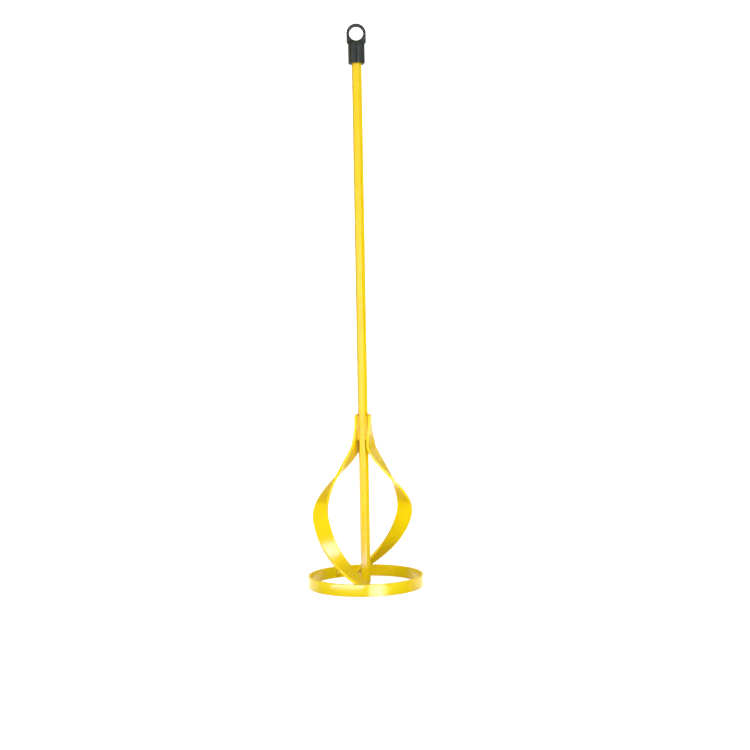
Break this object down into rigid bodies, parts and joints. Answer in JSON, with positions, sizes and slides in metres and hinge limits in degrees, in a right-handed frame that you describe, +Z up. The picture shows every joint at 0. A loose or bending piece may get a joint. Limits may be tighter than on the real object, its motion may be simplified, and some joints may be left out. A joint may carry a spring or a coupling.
{
  "type": "mortar mixing paddle",
  "caption": "Drill-driven mixing paddle: a hexagon shaft with two twisted flat bars running out to a bottom ring, and a plastic hanging cap on the drive end.",
  "frame": {"origin": "centre of the bottom ring's lower plane, on the shaft's axis", "axes": "+Z up the shaft towards the hanging cap, +X to the right and -Y towards a viewer who sees the hanging hole face on"},
  "size_m": [0.128, 0.128, 0.6241],
  "materials": {
    "yellow_steel": "glossy yellow powder coat on steel bar",
    "yellow_weld": "glossy yellow powder coat over rippled weld beads",
    "black_plastic": "satin black moulded plastic"
  },
  "bodies": {
    "paddle": {"hex_shaft": "yellow_steel", "left_bar": "yellow_steel", "right_bar": "yellow_steel", "bottom_ring": "yellow_steel", "left_top_weld": "yellow_weld", "right_top_weld": "yellow_weld", "left_foot_weld": "yellow_weld", "right_foot_weld": "yellow_weld", "ring_seam_weld": "yellow_weld"},
    "cap": {"hanging_cap": "black_plastic"}
  },
  "joints": [
    {"name": "cap_pull_off", "type": "slide", "parent": "paddle", "child": "cap", "axis": [0, 0, 1], "range_m": [0, 0.025]}
  ]
}
